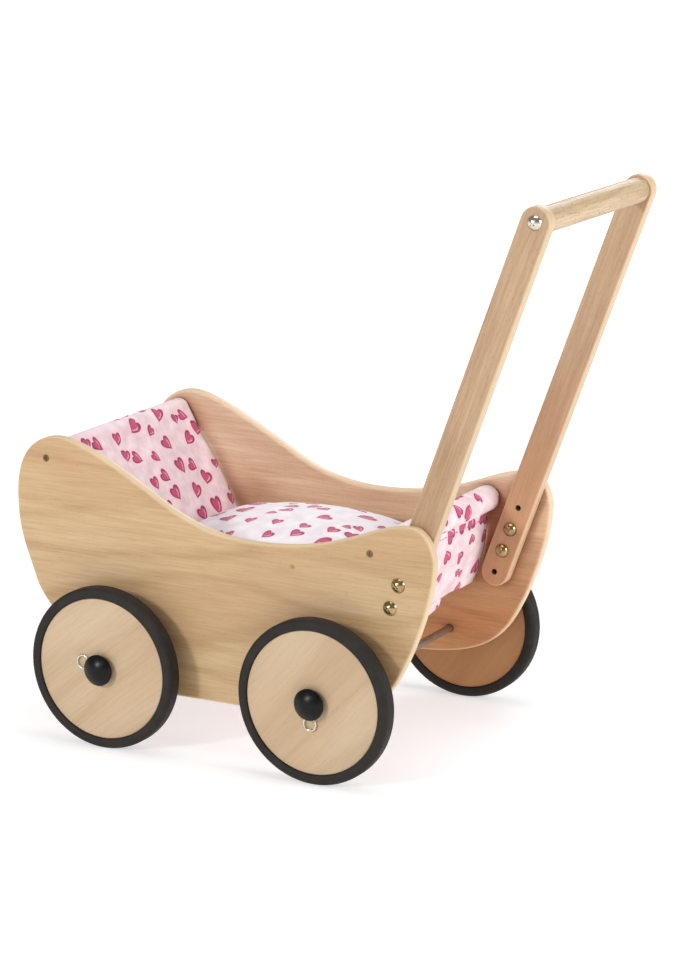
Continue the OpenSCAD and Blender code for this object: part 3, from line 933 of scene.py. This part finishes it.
def buildTab(cloth):
    # a tongue of the same cloth, stitched under the lower back corner
    low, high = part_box("base_board")
    x, z = high.x + tabShape["over"], low.z - tabShape["under"]
    half = tabShape["half"]
    across, down = tabShape["grid"]
    bm = bmesh.new()
    layer = bm.loops.layers.uv.new("clothMap")
    grid = []
    for k in range(across + 1):
        y = -half + 2 * half * k / across
        belly = math.sqrt(max(0.0, 1 - (y / half) ** 2))
        depth = tabShape["shallow"] + (tabShape["deep"] - tabShape["shallow"]) * belly
        ripple = tabShape["ripple"] * math.sin(y * 90)
        grid.append([bm.verts.new((x - tabShape["lean"] * (j / down) + ripple, y, z - depth * j / down))
                     for j in range(down + 1)])
    for k in range(across):
        for j in range(down):
            face = bm.faces.new((grid[k][j], grid[k][j + 1], grid[k + 1][j + 1], grid[k + 1][j]))
            face.smooth = True
            for loop in face.loops:
                loop[layer].uv = (loop.vert.co.y + 0.3, loop.vert.co.z)
    piece = newPiece("clothTab", bm, cloth, "frame")
    thicken(piece, tabShape["thick"])


buildTab(buildSling())
print("sling built")


clothRun = {"frames": 20, "stiffness": 8, "bending": 0.4, "clear": 0.0002}


def pillowMesh(low, high, crown, edgeHeight, shape):
    # a closed pillow: rounded-square plan, crowned top, slightly domed underside
    power, grid = shape["power"], shape["grid"]
    along, across = shape["fallAlong"], shape["fallAcross"]
    bm = bmesh.new()
    cx, cy = (low.x + high.x) / 2, (low.y + high.y) / 2
    ax, ay = (high.x - low.x) / 2, (high.y - low.y) / 2
    base = low.z + edgeHeight
    layers = {}
    for top in (1, -1):
        for i in range(grid + 1):
            for j in range(grid + 1):
                u, v = 2 * i / grid - 1, 2 * j / grid - 1
                rim = max(abs(u), abs(v))
                if rim > 0:
                    reach = (abs(u / rim) ** power + abs(v / rim) ** power) ** (1 / power)
                    x, y = u / reach, v / reach
                else:
                    x, y = 0.0, 0.0
                if top > 0:
                    fall = (1 - abs(u) ** along[0]) ** along[1] * (1 - abs(v) ** across[0]) ** across[1]
                    z = base + (crown - edgeHeight) * fall
                else:
                    z = base - edgeHeight * (1 - rim ** 2.3) ** 0.35
                z += shape["headLift"] * max(0.0, -x) ** 3
                if top < 0 and rim > 1 - 1e-6:
                    layers[top, i, j] = layers[1, i, j]
                else:
                    layers[top, i, j] = bm.verts.new((cx + ax * x, cy + ay * y, z))
    for top in (1, -1):
        for i in range(grid):
            for j in range(grid):
                ring = [(i, j), (i + 1, j), (i + 1, j + 1), (i, j + 1)]
                corners = [layers[top, a, b] for a, b in ring]
                bm.faces.new(corners if top > 0 else corners[::-1])
    bmesh.ops.recalc_face_normals(bm, faces=bm.faces)
    return bm


def puffUp(piece, shape, rest):
    # voxel skin, then a short cloth run with air inside; no point goes further than the reach,
    # or lower than the face it rests on
    skin = piece.modifiers.new("skin", "REMESH")
    skin.mode = "VOXEL"
    skin.voxel_size = shape["voxel"]
    applyModifiers(piece)
    start = [v.co.copy() for v in piece.data.vertices]
    cloth = piece.modifiers.new("cloth", "CLOTH")
    cloth.settings.use_pressure = True
    cloth.settings.uniform_pressure_force = shape["pressure"]
    cloth.settings.tension_stiffness = clothRun["stiffness"]
    cloth.settings.compression_stiffness = clothRun["stiffness"]
    cloth.settings.bending_stiffness = clothRun["bending"]
    cloth.settings.effector_weights.gravity = 0
    cloth.point_cache.frame_start = 1
    cloth.point_cache.frame_end = clothRun["frames"]
    scene = bpy.context.scene
    for step in range(1, clothRun["frames"] + 1):
        scene.frame_set(step)
    applyModifiers(piece)
    scene.frame_set(1)
    for v, old in zip(piece.data.vertices, start):
        move = v.co - old
        if move.length > shape["reach"]:
            v.co = old + move.normalized() * shape["reach"]
        v.co.z = max(v.co.z, rest)


def soften(piece):
    soft = piece.modifiers.new("soften", "SUBSURF")
    soft.levels = soft.render_levels = 1
    smoothShade(piece, 180)


duvetShape = {"edgeHeight": 0.016, "power": 5.5, "crown": 0.054, "headLift": 0.002, "grid": 44,
              "fallAlong": (2.0, 0.6), "fallAcross": (2.5, 0.7), "voxel": 0.0055, "pressure": 2.5,
              "reach": 0.006, "folds": (17, 13), "foldDepth": 0.0016, "mapStretch": 1.04,
              "mapShift": (0.4, 0.7), "wrap": 0.6}


def mapFlat(piece, seamHeight):
    # cloth coordinates laid over the top and wrapped round the sides
    layer = piece.data.uv_layers.get("clothMap") or piece.data.uv_layers.new(name="clothMap")
    points = [v.co for v in piece.data.vertices]
    low = min(p.z for p in points)
    stretch, wrap = duvetShape["mapStretch"], duvetShape["wrap"]
    centre = [(min(p[k] for p in points) + max(p[k] for p in points)) / 2 for k in (0, 1)]
    for loop in piece.data.loops:
        p = points[loop.vertex_index]
        drop = max(0.0, seamHeight - (p.z - low))
        layer.data[loop.index].uv = [p[k] * stretch + duvetShape["mapShift"][k]
                                     + drop * (wrap if p[k] > centre[k] else -wrap) for k in (0, 1)]


def dentFolds(piece, folds, depth):
    # long shallow folds and soft dimples over the top
    for v in piece.data.vertices:
        x, y = v.co.x * folds[0], v.co.y * folds[1]
        value = noise.noise(Vector((x, y, 1.3))) * depth
        value += noise.noise(Vector((x * 2.6, y * 2.6, 4.4))) * depth * 0.45
        v.co += v.normal * value


def buildDuvet():
    low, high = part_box("duvet")
    rest = low.z + clothRun["clear"]
    low, high = low + Vector((-0.001, 0.002, 0.002)), high - Vector((0.001, 0.002, 0.0))
    bm = pillowMesh(low, high, duvetShape["crown"], duvetShape["edgeHeight"], duvetShape)
    piece = newPiece("stuffedDuvet", bm, duvetPrint, "duvet", ["duvet"])
    puffUp(piece, duvetShape, rest)
    dentFolds(piece, duvetShape["folds"], duvetShape["foldDepth"])
    mapFlat(piece, duvetShape["edgeHeight"] * 2)
    soften(piece)


padShape = {"power": 12.0, "grid": 36, "headLift": 0.0, "fallAlong": (8.0, 0.5), "fallAcross": (8.0, 0.5),
            "voxel": 0.006, "pressure": 2.0, "reach": 0.004, "inset": 0.004}


def buildPad():
    low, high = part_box("mattress")
    rest = low.z + clothRun["clear"]
    inset = padShape["inset"]
    low, high = low + Vector((inset, inset, 0.0005)), high - Vector((inset, inset, 0.0))
    height = high.z - low.z
    bm = pillowMesh(low, high, height - 0.003, height * 0.45, padShape)
    piece = newPiece("mattressPad", bm, padCotton, "mattress", ["mattress"])
    puffUp(piece, padShape, rest)
    soften(piece)


buildPad()
buildDuvet()
print("bedding built")

print("done")
